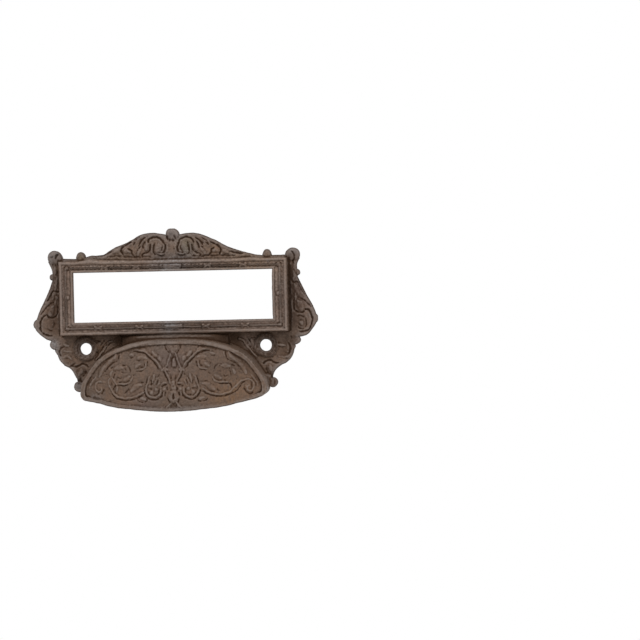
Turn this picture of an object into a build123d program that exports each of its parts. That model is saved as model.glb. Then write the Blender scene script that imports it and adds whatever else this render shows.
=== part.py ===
# Cast-iron bin pull with a label frame: one casting, hollow behind.
# Modelled flat: x runs across, y runs up, z runs out from the drawer front.
# The last step stands it up, so that +Z is up and the front faces -Y.
# The origin is midway between the two screw holes, on the back plane. Sizes are millimetres.

import os
from math import cos, radians, sin

from build123d import *

# Label frame
window_width = 74.8
window_height = 18.7
window_rise = 9.9
bar_side = 5.3
bar_top = 4.3
bar_bottom = 4.8
frame_projection = 8.5
frame_wall = 2.4
frame_front = 2.6
outer_bead = 1.3
inner_bead = 0.9
channel_depth = 0.9
reed_width = 0.6
reed_drop = 0.2
bead_round = 0.4
casting_draft = 1.5

# Back plate
plate_thickness = 2.6
plate_edge_bevel = 0.4

# Crest over the frame
base_band = 1.2
crest_rise = 9.1
crest_reach = 31.5
ball_rise = 8.4
ball_radius = 2.4
ball_seat = 1.5

# Knobs and finials beside the crest
knob_inset = 7.5
knob_radius = 1.5
knob_rise = 0.7
finial_radius = 2.75
finial_outset = 2.0
finial_seat = 1.3

# Side wings
wing_reach = 11.3
wing_knuckle_radius = 1.3

# Screw holes and the lobes round them
screw_spacing = 68.2
screw_hole_radius = 2.2
countersink_radius = 3.4
countersink_depth = 1.2
boss_radius = 4.3
boss_height = 0.8
lobe_radius = 6.3
lobe_shift = 4.5
lobe_drop = 0.8
lobe_knob_radius = 1.9
lobe_knob_outset = 6.9
lobe_knob_drop = 3.3
waist_angle = 58
waist_hollow = 1.0
ankle_outset = 2.5
ankle_rise = 4.4
foot_knob_radius = 1.9
foot_knob_outset = 2.4
foot_knob_rise = 1.9

# Hood
hood_half_width = 34.0
hood_top = 2.7
hood_corner = -15.9
hood_corner_bulge = 0.54
hood_lip_half_width = 31.9
hood_lip_end = -18.2
hood_lip_drop = -23.4
hood_projection = 20.0
hood_dome_radius = 110.0
hood_dome_height = -20.0
hood_wall = 2.2
hood_side_spread = 1.2
rim_width = 1.4
rim_height = 0.7

# Ledge that joins hood and frame
ledge_half_width = 20.3
ledge_gap = 0.6
ledge_projection = 12.0
ledge_floor = 5.5

# Allowance for cuts that run past a face
clear = 5.0

# Places worked out from the sizes above
frame_half_width = window_width / 2 + bar_side
frame_bottom = window_rise - bar_bottom
frame_top = window_rise + window_height + bar_top
frame_height = frame_top - frame_bottom
plate_top = frame_top + base_band
screw_x = screw_spacing / 2
boss_top = plate_thickness + boss_height


def both_sides(shape):
    """The shape and its mirror image across the middle."""
    return shape + mirror(shape, about=Plane.YZ)


def face_of(*edges):
    """A flat face inside a closed run of edges."""
    return make_face(list(edges))


def bevelled(sketch, kind=None):
    """A piece of the back plate in the sketch's outline, its front edges bevelled, or one kind of them."""
    slab = extrude(sketch, plate_thickness)
    edges = slab.faces().sort_by(Axis.Z)[-1].edges()
    if kind:
        edges = edges.filter_by(kind)
    return chamfer(edges, plate_edge_bevel)


def rectangle(left, bottom, right, top):
    """A rectangle between two opposite corners."""
    return Pos((left + right) / 2, (bottom + top) / 2) * Rectangle(right - left, top - bottom)


def bar_rectangle(inset):
    """The frame's outer rectangle, moved in by inset."""
    half = frame_half_width - inset
    return rectangle(-half, frame_bottom + inset, half, frame_top - inset)


def window_rectangle(outset):
    """The window's rectangle, moved out by outset."""
    half = window_width / 2 + outset
    return rectangle(-half, window_rise - outset, half, window_rise + window_height + outset)


def crest_point(reach, rise):
    """A point of the crest: shares of its reach from the middle and of its rise."""
    return (reach * crest_reach, plate_top + rise * crest_rise)


def wing_point(reach, rise):
    """A point of the wing: shares of its reach beside the frame and of the frame's height."""
    return (frame_half_width + reach * wing_reach, frame_bottom + rise * frame_height)


def crest():
    """The ogee gable over the frame, rooted behind its top bar, with a ball and two small knobs."""
    root_height = frame_top - bar_top
    middle = crest_point(0, 0.9)
    shoulder = [crest_point(0.11, 0.95), crest_point(0.25, 1), crest_point(0.38, 0.92)]
    slope = [crest_point(0.57, 0.58), crest_point(0.76, 0.26)]
    end = crest_point(1, 0)
    top = Spline(middle, *shoulder, *slope, end, tangents=[(1, 0), (1, 0)])
    foot = (end[0], root_height)
    start = (0, root_height)
    gable = face_of(top, Line(end, foot), Line(foot, start), Line(start, middle))
    knob = Pos(frame_half_width - knob_inset, plate_top + knob_rise) * Circle(knob_radius)
    ball = Pos(0, plate_top + ball_rise) * Circle(ball_radius)
    ogee = bevelled(both_sides(gable), GeomType.BSPLINE)
    return ogee + both_sides(bevelled(knob)) + bevelled(ball)


def wing():
    """One side wing: a finial at the frame's corner, a neck and knuckle, then the flared scroll."""
    root = (frame_half_width - bar_side, frame_top)
    collar = wing_point(0.42, 1)
    throat = wing_point(0.31, 0.86)
    knuckle = wing_point(0.29, 0.8)
    shoulder = wing_point(0.32, 0.74)
    hip = wing_point(0.91, 0.23)
    tip = wing_point(1, 0.17)
    cheek = wing_point(0.93, 0.11)
    belly = wing_point(0.775, 0.028)
    heel = wing_point(0.56, -0.04)
    toe = wing_point(0.32, -0.075)
    back = (root[0], toe[1])
    outline = face_of(
        Line(root, collar),
        ThreePointArc(collar, wing_point(0.34, 0.93), throat),
        Line(throat, shoulder),
        Line(shoulder, hip),
        ThreePointArc(hip, tip, cheek),
        ThreePointArc(cheek, belly, heel),
        Line(heel, toe),
        Line(toe, back),
        Line(back, root),
    )
    finial_disc = Pos(frame_half_width + finial_outset, plate_top) * Circle(finial_radius)
    knuckle_disc = Pos(*knuckle) * Circle(wing_knuckle_radius)
    return bevelled(outline) + bevelled(finial_disc) + bevelled(knuckle_disc)


def screw_lobe():
    """One lobe round a screw hole, rooted behind the hood, with a knob over it and one at its foot."""
    centre = (screw_x + lobe_shift, -lobe_drop)
    top_knob = (screw_x + lobe_shift + lobe_knob_outset, frame_bottom - lobe_knob_drop)
    foot_knob = (hood_half_width + foot_knob_outset, hood_corner + foot_knob_rise)
    root = (ledge_half_width - boss_radius, frame_bottom + bar_bottom)
    head = (top_knob[0], root[1])
    cheek = (top_knob[0], centre[1])
    waist = (
        centre[0] + lobe_radius * cos(radians(waist_angle)),
        centre[1] - lobe_radius * sin(radians(waist_angle)),
    )
    ankle = (hood_half_width + ankle_outset, hood_corner + ankle_rise)
    inside = (root[0], foot_knob[1])
    outline = face_of(
        Line(root, head),
        Line(head, cheek),
        Line(cheek, waist),
        SagittaArc(waist, ankle, -waist_hollow),
        Line(ankle, foot_knob),
        Line(foot_knob, inside),
        Line(inside, root),
    )
    round_end = bevelled(Pos(*centre) * Circle(lobe_radius))
    top_disc = bevelled(Pos(*top_knob) * Circle(lobe_knob_radius))
    foot_disc = bevelled(Pos(*foot_knob) * Circle(foot_knob_radius))
    return bevelled(outline, GeomType.CIRCLE) + round_end + top_disc + foot_disc


def hood_outline(sides, below):
    """The hood's flattened arch, moved out by sides, over its shallow bow, moved down by below."""
    across = hood_half_width + sides
    crown = (0, hood_top + sides)
    corner = (across, hood_corner - below / 5)
    lip_end = (hood_lip_half_width + sides / 2, hood_lip_end - below)
    lip_middle = (0, hood_lip_drop - below)
    arch_rise = crown[1] - corner[1]
    arch_shares = [(0.305, 0.98), (0.59, 0.86), (0.83, 0.59), (0.96, 0.26)]
    arch_points = [(x * across, corner[1] + y * arch_rise) for x, y in arch_shares]
    arch = Spline(crown, *arch_points, corner, tangents=[(1, 0), (0, -1)])
    turn = SagittaArc(corner, lip_end, hood_corner_bulge)
    bow = ThreePointArc(lip_end, lip_middle, (-lip_end[0], lip_end[1]))
    right = Wire([arch, turn])
    left = mirror(right, about=Plane.YZ)
    return make_face([*right.edges(), bow, *left.edges()])


def dome(inward):
    """The ball whose front is the hood's domed face, moved inward from the rim's top."""
    centre = Pos(0, hood_dome_height, hood_projection - hood_dome_radius)
    return centre * Sphere(hood_dome_radius - inward)


def back_plate():
    """The flat plate behind everything, in the outline that shows from the front."""
    behind_frame = rectangle(-frame_half_width, frame_bottom, frame_half_width, plate_top)
    return crest() + both_sides(wing() + screw_lobe()) + bevelled(behind_frame)


def balls():
    """The round ball on the crest and the two corner finials."""
    finial = Pos(frame_half_width + finial_outset, plate_top, finial_seat) * Sphere(finial_radius)
    top_ball = Pos(0, plate_top + ball_rise, ball_seat) * Sphere(ball_radius)
    return both_sides(finial) + top_ball


def label_frame():
    """The raised frame before it is hollowed: two beads with a reeded channel between them."""
    body = extrude(bar_rectangle(0), frame_projection, taper=casting_draft)
    channel_floor = frame_projection - channel_depth
    channel = bar_rectangle(outer_bead) - window_rectangle(inner_bead)
    body -= Pos(0, 0, channel_floor) * extrude(channel, channel_depth + clear)
    front = body.faces().group_by(Axis.Z)[-1]
    body = fillet([edge for face in front for edge in face.edges()], bead_round)
    reed_line = (outer_bead + bar_bottom - inner_bead) / 2
    reed = bar_rectangle(reed_line - reed_width / 2) - bar_rectangle(reed_line + reed_width / 2)
    return body + Pos(0, 0, channel_floor) * extrude(reed, channel_depth - reed_drop)


def card_pocket():
    """The hollow behind the frame that takes the card, and the window through its front."""
    pocket_depth = frame_projection - frame_front
    pocket = Pos(0, 0, -clear) * extrude(bar_rectangle(frame_wall), pocket_depth + clear)
    window = Pos(0, 0, -clear) * extrude(window_rectangle(0), frame_projection + 2 * clear)
    return pocket + window


def screw_bosses():
    """The raised ring round each screw hole."""
    return both_sides(Pos(screw_x, 0) * extrude(Circle(boss_radius), boss_top))


def screw_holes():
    """The two countersunk holes."""
    sink_centre = Pos(screw_x, 0, boss_top - countersink_depth / 2)
    sink = sink_centre * Cone(screw_hole_radius, countersink_radius, countersink_depth)
    shank = Pos(screw_x, 0) * Cylinder(screw_hole_radius, 2 * (boss_top + clear))
    return both_sides(sink + shank)


def hood():
    """The hood before it is hollowed: drafted sides, a domed face and a raised rim round it."""
    base = hood_outline(hood_side_spread, 0)
    front = Pos(0, 0, hood_projection) * hood_outline(0, 0)
    body = loft([base, front], ruled=True) & dome(0)
    field = extrude(hood_outline(-rim_width, -rim_width), hood_projection + clear)
    return body - (field - dome(rim_height))


def ledge():
    """The shelf that closes the gap between the frame and the hood."""
    shelf_top = frame_bottom - ledge_gap
    shelf = rectangle(-ledge_half_width, hood_top - hood_wall, ledge_half_width, shelf_top)
    floor = rectangle(-ledge_half_width, shelf_top, ledge_half_width, frame_bottom + frame_wall)
    return extrude(shelf, ledge_projection) + extrude(floor, ledge_floor)


def finger_space():
    """The straight-sided hollow under the hood, open behind and below."""
    inside = extrude(hood_outline(-hood_wall, -hood_wall), hood_projection)
    half = hood_lip_half_width - hood_wall / 2
    mouth = rectangle(-half, hood_lip_drop - clear, half, hood_lip_end + hood_wall)
    below = extrude(mouth, hood_projection)
    return (inside + below) & dome(rim_height + hood_wall)


def casting():
    """The whole pull, standing up with its back on the plane y = 0."""
    solid = back_plate() + balls() + screw_bosses() + label_frame() + hood() + ledge()
    solid -= card_pocket()
    solid -= finger_space()
    solid -= screw_holes()
    return Plane.XZ * split(solid, bisect_by=Plane.XY, keep=Keep.TOP)


os.makedirs("parts", exist_ok=True)
export_step(casting(), "parts/casting.step")
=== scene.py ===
# The looks of the cast-iron bin pull. The casting is skinned again with a fine mesh that carries the
# cast scrollwork, worn edges and patina. Lengths are millimetres until the mesh is made.
# Across is x, up is z and the front faces -Y, so depth means distance out from the back plane.

import math

import bmesh
import bpy
import numpy as np
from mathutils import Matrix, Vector, noise
from mathutils.bvhtree import BVHTree
from mathutils.geometry import delaunay_2d_cdt
from mathutils.kdtree import KDTree


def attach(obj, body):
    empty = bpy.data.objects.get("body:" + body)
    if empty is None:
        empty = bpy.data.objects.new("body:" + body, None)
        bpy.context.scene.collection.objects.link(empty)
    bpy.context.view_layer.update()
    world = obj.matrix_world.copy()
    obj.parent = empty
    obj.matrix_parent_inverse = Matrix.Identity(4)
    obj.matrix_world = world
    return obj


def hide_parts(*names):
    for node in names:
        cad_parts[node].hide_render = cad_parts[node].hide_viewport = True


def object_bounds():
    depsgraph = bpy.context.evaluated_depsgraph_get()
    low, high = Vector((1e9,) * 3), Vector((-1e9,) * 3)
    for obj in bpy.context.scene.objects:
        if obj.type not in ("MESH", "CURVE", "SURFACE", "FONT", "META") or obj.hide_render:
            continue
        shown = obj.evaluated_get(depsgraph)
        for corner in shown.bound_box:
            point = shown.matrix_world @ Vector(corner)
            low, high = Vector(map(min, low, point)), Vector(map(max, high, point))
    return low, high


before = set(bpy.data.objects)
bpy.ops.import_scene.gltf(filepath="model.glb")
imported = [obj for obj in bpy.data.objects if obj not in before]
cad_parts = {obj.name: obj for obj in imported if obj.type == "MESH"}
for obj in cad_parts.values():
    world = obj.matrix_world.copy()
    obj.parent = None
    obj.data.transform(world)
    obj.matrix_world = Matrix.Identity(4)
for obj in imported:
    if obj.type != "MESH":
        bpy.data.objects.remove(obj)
cad_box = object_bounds()

# The vector noise starts from the clock unless it is given a seed
NOISE_SEED = 1
noise.seed_set(NOISE_SEED)

MM = 0.001

# The skin's mesh
MERGE = 0.004
FRONT_TILT = 0.3
CREASE = math.radians(28)
SEAM_STEP = 0.3
FINE_STEP = 0.25
LINE_CLEARANCE = 0.17
ROW_GAP = math.sqrt(3) / 2
CDT_GAP = 1e-6
SLIVER = 1e-4
TINY = 1e-12

# Rounded edges, the raised band along the plate's outline, and the unevenness of a sand casting
RELIEF_PASSES = 1
ROUND_SHARE = 0.35
LARGEST_ROUND = 0.55
SHARP_TURN = math.radians(40)
FOOT_FILLET = 0.35
LINE_SAMPLES = 3
RIM_BAND = 0.75
RIM_BAND_HALF = 0.65
RIM_BAND_HEIGHT = 0.4
RIM_GROOVE_OUT = 1.7
RIM_GROOVE_HALF = 0.4
RIM_GROOVE_DEPTH = 0.45
BOSS_CLEAR = 6.0
SCREW_ACROSS = 34.1
WAVER = ((0.16, 0.08), (0.5, 0.06), (1.3, 0.05), (2.4, 0.03))
HAND_SCALE, HAND_WANDER = 0.9, 0.22
SWELL_SCALE, SWELL = 1.1, 0.22
FRAME_STEADY, PLATE_ROUGHER = 0.3, 1.5
BOX_MARGIN = 0.002
OUTLINE_DEPTH = 2.3

# Where the real outline bulges or falls short: centre across and up, reach, and push across and up
PUSHES = [
    (-45.2, 34.9, 3.0, -0.7, 0.9),
    (-36.4, 34.0, 0.9, -0.5, 0.0),
    (-34.1, 34.0, 0.9, 0.5, 0.0),
    (-35.2, 35.6, 1.4, -0.2, 0.4),
    (-31.0, 34.6, 3.0, 0.0, 1.1),
    (-22.0, 37.6, 4.0, -0.2, 0.7),
    (-11.5, 42.6, 4.5, -0.2, 0.35),
    (-0.8, 43.2, 2.6, -0.9, 0.2),
    (12.0, 41.5, 4.0, -0.2, -0.55),
    (20.5, 37.8, 4.0, -0.1, -0.45),
    (28.5, 34.8, 3.0, 0.0, 0.5),
    (34.2, 34.0, 0.9, -0.5, 0.0),
    (36.3, 34.0, 0.9, 0.5, 0.0),
    (45.3, 35.0, 2.8, 0.5, -0.2),
    (46.4, 27.0, 2.5, 0.45, 0.0),
    (-49.5, 20.0, 5.0, 0.4, 0.0),
    (-53.0, 11.5, 3.0, 0.4, 0.0),
    (51.0, 14.5, 5.0, 0.6, 0.1),
    (49.0, 4.8, 3.5, 0.3, -0.6),
    (45.8, 1.0, 2.0, -0.4, 0.2),
    (39.5, -6.0, 3.5, 0.3, -0.4),
    (-38.6, -7.5, 3.0, -0.6, 0.0),
    (-37.4, -10.5, 2.4, -1.0, -0.2),
    (-37.6, -14.6, 2.0, -0.6, -0.3),
    (-32.5, -18.5, 4.0, -0.2, -0.8),
    (-23.0, -21.5, 6.0, 0.0, -0.5),
    (30.5, -19.0, 5.0, 0.2, -0.6),
    (20.0, -22.5, 6.0, 0.0, -0.3),
    (-45.8, 2.2, 2.0, -0.5, 0.0),
    *((37.4, up, 3.0, -0.35, 0.0) for up in (11.5, 16.5, 21.5, 26.5)),
]
EDGE_SCALE, EDGE_WANDER = 0.5, 0.12

# Where the noises are sliced, so that no two of them are alike
HAND_SLICE, SWELL_SLICE, WAVER_SLICE, EDGE_SLICE = 2.7, 1.9, 7.3, 5.1

# The ledge between frame and hood is worn round, and the knobs are worn flat and run into the plate
LEDGE_DEPTH, LEDGE_HALF, LEDGE_ROUND = 12.0, 20.3, 2.8
LEDGE_SLACK = 0.1
LEDGE_FALL, LEDGE_FALL_POWER = 8.6, 3
SHELF_DEPTH, SHELF_SINK, SHELF_RISE = 5.5, 0.3, 2.2
CHANNEL_DEPTH, CHANNEL_FILL = 7.6, 0.5
REED_DEPTH, REED_RISE = 8.3, 0.12
SIDE_KNOBS = ((44.7, 34.1, 2.75), (35.2, 34.8, 1.5), (45.5, 1.8, 1.9), (36.4, -14.0, 1.9))
KNOBS = [(0.0, 42.5, 2.4)] + [(side * x, z, radius) for x, z, radius in SIDE_KNOBS for side in (1, -1)]
KNOB_BLEND = 0.9
KNOB_BASE, KNOB_FLATTEN = 2.0, 0.4
WIDE_FILLET, FRAME_FOOT = 0.9, 32.5
LIP_DEPTH, LIP_UP, LIP_WIDTH, LIP_STEP = 12.0, -15.5, 2.6, 1.0
LIP_WORN = ((-31.0, -27.0, -6.0, 0.0, 27.0, 31.0), (0.0, 0.3, 0.4, 0.6, 0.6, 0.0))

# Grime, painted shade and highlights, wear and tone: how a point is compared with its surroundings, and
# colours as a shader takes them
FINE_PASSES = 8
CELL = 0.5
SKY_DIRECTIONS = 16
SKY_REACH = (0.6, 1.0, 1.5, 2.2, 3.2, 4.6, 6.5)
# Painted shade on the walls
WALL_SHADE = 0.2
FRAME_HOLLOW_DARKENING, FRAME_RUBBED, FRAME_LOW = 0.9, 1.8, 4.9
FRAME_PATINA, HOOD_PATINA = (0.200, 0.148, 0.122), (0.092, 0.060, 0.042)
# Painted shade on the outline's turned edge, and a painted grey highlight band just inside it
OUTLINE_SHADE, OUTLINE_SHADE_REACH = 1.3, 0.85
PAINTED_RIM_HIGHLIGHT, PAINTED_RIM_HIGHLIGHT_REACH = 0.8, 2.2
SHARP_SHADING = math.radians(50)
PATINA = (0.130, 0.086, 0.061)
WARM = (0.140, 0.080, 0.050, 1)
COOL = (0.112, 0.084, 0.068, 1)
DARK_GRIME_AND_SHADE = (0.032, 0.0155, 0.0075, 1)
RUBBED = (0.19, 0.150, 0.128, 1)
OLIVE, ORANGE, PURPLE = (0.105, 0.088, 0.042), (0.160, 0.085, 0.040), (0.105, 0.068, 0.062)
GREY_TONE_AND_HIGHLIGHT, PEWTER_AND_HIGHLIGHT = (0.165, 0.150, 0.146), (0.255, 0.255, 0.262)
MOSS, SAND = (0.200, 0.170, 0.115), (0.270, 0.195, 0.140)

# Settled grime and painted shade: lowest and highest depth, amount (under 0 where it is wiped off),
# reach and the line it lies along, which is followed in steps
SETTLED_STEP = 1.0
SETTLED_GRIME_AND_SHADE = [
    # darker round the screw holes
    (0.0, 5.0, 2.0, 2.8, [(-34.1, -0.1), (-34.1, 0.1)]),
    (0.0, 5.0, 2.6, 2.9, [(34.1, -0.1), (34.1, 0.1)]),
    # painted shade on the ledge under the frame and at its ends
    (5.0, 12.5, 0.75, 2.2, [(-21.0, 2.8), (0.0, 3.4), (21.0, 2.8)]),
    (2.0, 12.5, 0.5, 2.4, [(-20.5, 2.6), (-20.0, 3.6)]),
    (2.0, 12.5, 0.5, 2.4, [(20.5, 2.6), (20.0, 3.6)]),
    # painted shadow right of the ledge's end and down along the hood's side
    (0.0, 5.0, 0.9, 2.0, [(21.4, 3.6), (22.4, 1.0), (25.0, -2.4), (27.8, -5.6)]),
    # the painted shade lightened again on the corner leaves
    (0.0, 5.0, -0.5, 2.6, [(-25.8, 2.0), (-29.0, -1.8)]),
    (0.0, 5.0, -0.4, 2.4, [(26.0, 2.2), (29.2, -1.6)]),
    (0.0, 5.0, 0.6, 2.4, [(35.2, -12.6), (35.8, -14.4)]),
    (0.0, 5.0, 0.48, 4.0, [(47.0, 8.0), (46.0, 18.0), (45.0, 28.0)]),
    (0.0, 5.0, 0.4, 3.6, [(-47.0, 8.0), (-46.0, 18.0), (-45.0, 28.0)]),
    (0.0, 5.0, 0.6, 3.2, [(43.0, 0.5), (41.4, -2.8)]),
    (0.0, 5.0, 0.4, 2.4, [(-42.5, 0.0), (-40.0, -4.5), (-37.0, -8.0)]),
    (0.0, 5.0, -0.12, 5.0, [(11.0, 38.0), (17.0, 36.5)]),
    (12.0, 21.0, 0.14, 6.0, [(-22.0, -8.0), (0.0, -6.0), (22.0, -8.0)]),
    (12.0, 21.0, 0.18, 5.0, [(16.0, -9.0), (21.0, -9.5)]),
    (12.0, 21.0, 0.28, 2.2, [(24.0, -4.2), (28.4, -9.0), (31.4, -13.6)]),
    # painted shadow along the top of the hood's rim, under the ledge
    (12.5, 21.0, 0.8, 0.55, [(-16.0, -0.6), (-8.0, 1.9), (0.0, 2.7), (8.0, 1.9), (16.0, -0.6)]),
]

# Soft patches of other tones, some of them painted highlights: centre across and up, reach, tone and
# strength
PATCHES = [
    (4.5, 38.5, 3.0, OLIVE, 0.6),
    (-35.2, 35.2, 1.8, MOSS, 0.9),
    (15.5, 36.5, 3.0, ORANGE, 0.6),
    (29.0, 31.5, 10.0, SAND, 0.9),
    (-22.0, 31.5, 9.0, SAND, 0.3),
    (0.0, -5.0, 5.0, PURPLE, 0.5),
    (46.5, 18.0, 9.0, PURPLE, 0.6),
    (-46.5, 20.0, 8.0, PURPLE, 0.4),
    (21.0, -20.0, 8.0, ORANGE, 0.8),
    (27.0, -15.0, 5.0, ORANGE, 0.4),
    (-20.0, -19.5, 7.0, ORANGE, 0.3),
    (-12.0, -21.0, 5.0, PURPLE, 0.5),
    (-0.8, 30.8, 6.5, PEWTER_AND_HIGHLIGHT, 1.0),
    (-0.8, 36.8, 3.2, PATINA, 0.9),
    (-0.8, 8.0, 4.6, PEWTER_AND_HIGHLIGHT, 0.9),
    # painted highlights on the crest's ball and the finials' tops
    (-0.4, 43.4, 2.8, PEWTER_AND_HIGHLIGHT, 1.0),
    (-45.2, 35.6, 2.6, PEWTER_AND_HIGHLIGHT, 0.85),
    (45.2, 35.6, 2.6, PEWTER_AND_HIGHLIGHT, 0.85),
    (35.7, 31.5, 0.5, PEWTER_AND_HIGHLIGHT, 0.9),
    (52.5, 10.0, 2.5, GREY_TONE_AND_HIGHLIGHT, 0.5),
    (-52.5, 9.0, 2.5, GREY_TONE_AND_HIGHLIGHT, 0.5),
    (-46.2, 1.8, 2.4, PEWTER_AND_HIGHLIGHT, 0.6),
    (-37.5, -14.5, 2.0, GREY_TONE_AND_HIGHLIGHT, 0.8),
    (36.0, -13.8, 2.2, ORANGE, 0.6),
    (28.0, 0.6, 2.6, GREY_TONE_AND_HIGHLIGHT, 0.6),
    (-28.0, 0.6, 2.6, ORANGE, 0.4),
]

# Spheres of the casting: centre across, depth, height, and radius
SPHERES = [
    (0.0, -90.0, -20.0, 110.0),
    (0.0, -90.0, -20.0, 109.3),
    (0.0, 1.5, 42.5, 2.4),
    (44.7, 1.3, 34.1, 2.75),
    (-44.7, 1.3, 34.1, 2.75),
]
SPHERE_MATCH = 0.09

# Levels of the casting, by depth
PLATE, FRAME, HOOD = (0.0, 5.0), (5.0, 9.0), (9.0, 21.0)


def cad_triangles():
    """The casting's points and triangles as arrays, in millimetres, closed and without slivers."""
    mesh = bmesh.new()
    mesh.from_mesh(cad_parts["casting"].data)
    bmesh.ops.scale(mesh, vec=(1 / MM, 1 / MM, 1 / MM), verts=mesh.verts)
    bmesh.ops.remove_doubles(mesh, verts=mesh.verts, dist=MERGE)
    bmesh.ops.triangulate(mesh, faces=mesh.faces)
    mesh.verts.ensure_lookup_table()
    points = np.array([v.co for v in mesh.verts])
    triangles = np.array([[v.index for v in f.verts] for f in mesh.faces])
    mesh.free()
    return points, triangles


def unit_normals(points, triangles):
    """Each triangle's normal, one long."""
    a, b, c = (points[triangles[:, i]] for i in range(3))
    normals = np.cross(b - a, c - a)
    return normals / np.maximum(np.linalg.norm(normals, axis=1), TINY)[:, None]


def edge_table(triangles):
    """Each edge's two ends, the edges of each triangle, and the two triangles on each edge, which
    are one and the same on an open edge."""
    ends = np.sort(triangles[:, [0, 1, 1, 2, 2, 0]].reshape(-1, 2), axis=1)
    edges, index, count = np.unique(ends, axis=0, return_inverse=True, return_counts=True)
    index = index.reshape(-1)
    order = np.argsort(index, kind="stable")
    last = np.cumsum(count) - 1
    owners = np.column_stack([order[last - count + 1], order[last]]) // 3
    return edges, index.reshape(-1, 3), owners


def joined_groups(count, pairs):
    """Numbers things so that any two joined by pairs, straight or through others, have one number."""
    group = np.arange(count)
    while True:
        low = np.minimum(group[pairs[:, 0]], group[pairs[:, 1]])
        before = group.copy()
        np.minimum.at(group, pairs[:, 0], low)
        np.minimum.at(group, pairs[:, 1], low)
        group = group[group]
        if (group == before).all():
            return group


def sphere_depth(x, z, depth):
    """The exact depth where a point lies on one of the casting's spheres, else the depth given."""
    for cx, cd, cz, radius in SPHERES:
        under = radius**2 - (x - cx) ** 2 - (z - cz) ** 2
        exact = cd + np.sqrt(np.maximum(under, 0))
        near = (under > 0) & (np.abs(exact - depth) < SPHERE_MATCH)
        depth = np.where(near, exact, depth)
    return depth


def knob_gap(x, z):
    """How far a place is outside the nearest knob's circle."""
    return np.min([np.hypot(x - cx, z - cz) - radius for cx, cz, radius in KNOBS], axis=0)


def on_ledge(x, z, depth, level=LEDGE_DEPTH):
    """Whether places lie on the front of the ledge, or on the shelf above it."""
    return (np.abs(depth - level) < LEDGE_SLACK) & (np.abs(x) < LEDGE_HALF + LEDGE_SLACK) & (z > 0)


def split_rows(points, edges, chosen):
    """All points with those that divide the chosen edges, and each chosen edge's row of points."""
    rows, added = {}, []
    for index in np.nonzero(chosen)[0]:
        a, b = edges[index]
        pieces = max(1, math.ceil(np.linalg.norm(points[b] - points[a]) / SEAM_STEP))
        first = len(points) + len(added)
        rows[index] = [a, *range(first, first + pieces - 1), b]
        added += [points[a] + (points[b] - points[a]) * i / pieces for i in range(1, pieces)]
    return np.vstack([points, added]), rows


def loop_of(triangle, its_edges, rows):
    """A triangle's outline with the points that divide its edges."""
    loop = []
    for corner, edge in zip(triangle, its_edges):
        row = rows.get(edge, [corner])
        loop += (row if row[0] == corner else row[::-1])[:max(1, len(row) - 1)]
    return loop


class Patch:
    """One connected stretch of the front, for finding its height at a place seen from the front."""

    def __init__(self, points, triangles, normals):
        self.corner = points[triangles[:, 0]]
        self.normals = normals
        flat = points * (1, 0, 1)
        used, small = np.unique(triangles, return_inverse=True)
        self.low, self.high = flat[used].min(axis=0), flat[used].max(axis=0)
        self.tree = BVHTree.FromPolygons(flat[used].tolist(), small.reshape(-1, 3).tolist())

    def find(self, x, z):
        """Which of the places lie on the patch, and the casting's y at those that do."""
        hits = [self.tree.ray_cast((a, -1, b), (0, 1, 0))[2] for a, b in zip(x, z)]
        on = np.array([hit is not None for hit in hits], bool)
        hit = np.array([hit for hit in hits if hit is not None], int)
        normal, corner = self.normals[hit], self.corner[hit]
        slope = normal[:, 0] * (x[on] - corner[:, 0]) + normal[:, 2] * (z[on] - corner[:, 2])
        depth = slope / normal[:, 1] - corner[:, 1]
        return on, -sphere_depth(x[on], z[on], depth)


def grid_places(low, high, step):
    """Places of a triangular grid over a rectangle, as arrays of x and z."""
    rows = np.arange(low[2] // (step * ROW_GAP), high[2] // (step * ROW_GAP) + 2)
    columns = np.arange(low[0] // step - 1, high[0] // step + 2)
    row, column = np.meshgrid(rows, columns, indexing="ij")
    return ((column + row % 2 / 2) * step).ravel(), (row * step * ROW_GAP).ravel()


def skin_patch(patch, points, lines):
    """New points and triangles for a patch: its kept lines stay and a fine grid fills what is between.
    The triangles count the kept points by their own numbers, and the new ones on from the last."""
    kept = np.unique(lines)
    small = {number: i for i, number in enumerate(kept)}
    near = KDTree(len(kept))
    for i, number in enumerate(kept):
        near.insert(points[number] * (1, 0, 1), i)
    near.balance()
    x, z = grid_places(patch.low, patch.high, FINE_STEP)
    on, y = patch.find(x, z)
    x, z = x[on], z[on]
    clear = np.array([near.find((a, 0, b))[2] > LINE_CLEARANCE for a, b in zip(x, z)], bool)
    x, y, z = x[clear], y[clear], z[clear]
    flat = [Vector((p[0], p[2])) for p in points[kept]] + [Vector(p) for p in zip(x, z)]
    constraints = [(small[a], small[b]) for a, b in lines]
    places, _, faces, origins, _, _ = delaunay_2d_cdt(flat, constraints, [], 0, CDT_GAP)
    numbers = np.array([
        -1 if not origin else kept[min(origin)] if min(origin) < len(kept)
        else len(points) + min(origin) - len(kept) for origin in origins
    ])
    faces = np.array(faces)
    places = np.array(places)
    walls = {tuple(pair) for pair in np.sort(lines, axis=1).tolist()}
    faces = faces[inside_walls(patch, places, faces, numbers, walls)]
    return np.column_stack([x, y, z]), numbers[faces]


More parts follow.
